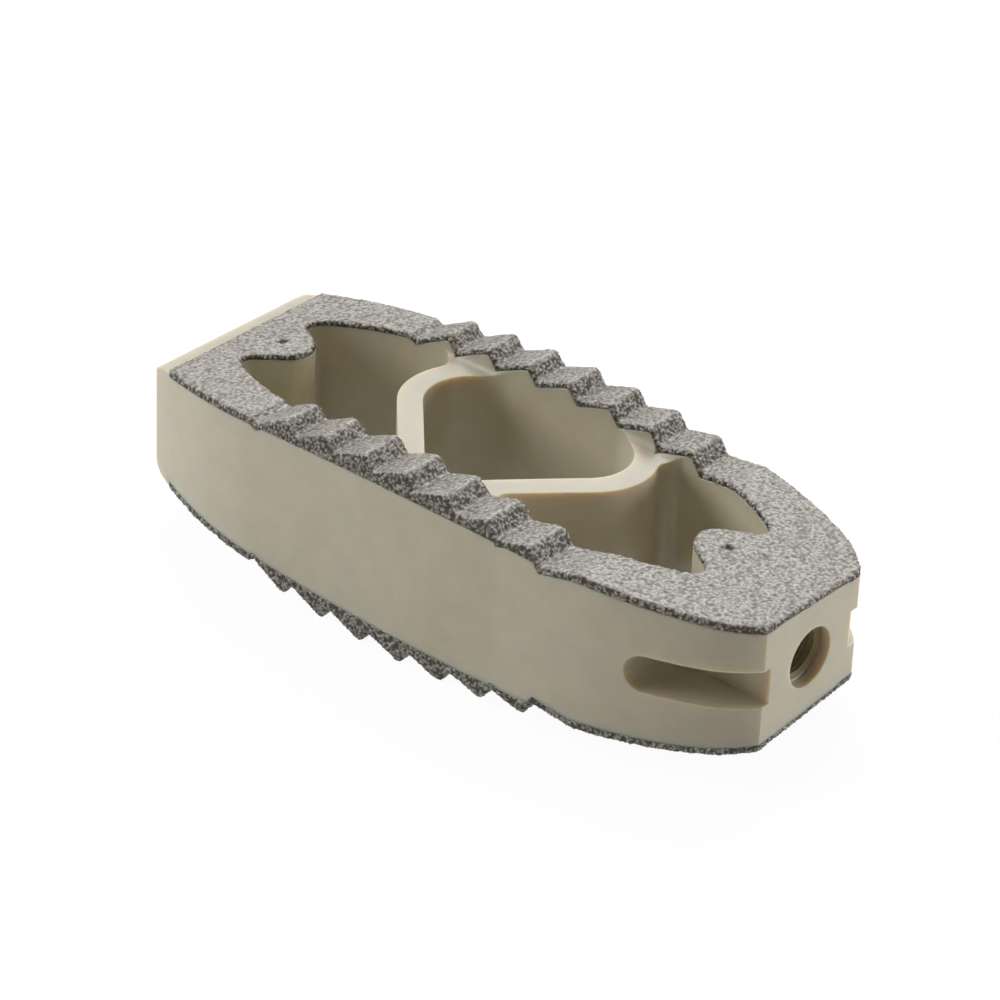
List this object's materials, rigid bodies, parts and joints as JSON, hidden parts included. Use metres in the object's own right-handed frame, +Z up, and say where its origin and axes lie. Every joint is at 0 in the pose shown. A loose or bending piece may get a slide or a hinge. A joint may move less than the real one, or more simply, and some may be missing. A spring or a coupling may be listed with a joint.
{
  "type": "spinal interbody cage",
  "caption": "Lateral spinal interbody cage: a polymer frame with graft windows, V struts, a bullet nose, toothed porous metal faces and a threaded inserter hole.",
  "frame": {"origin": "centre of the cage's box, on its middle plane", "axes": "+X from the bullet nose to the tail with the inserter thread, +Z up through the graft windows, taller side at -Y"},
  "size_m": [0.045, 0.018, 0.0132],
  "materials": {
    "polymer": "fine satin, slightly translucent",
    "porous_coating": "rough sprayed titanium, matt grey",
    "marker_metal": "satin"
  },
  "bodies": {
    "root": {"cage_body": "polymer", "upper_coating": "porous_coating", "lower_coating": "porous_coating", "nose_marker_pin": "marker_metal", "tail_marker_pin": "marker_metal"}
  },
  "joints": []
}
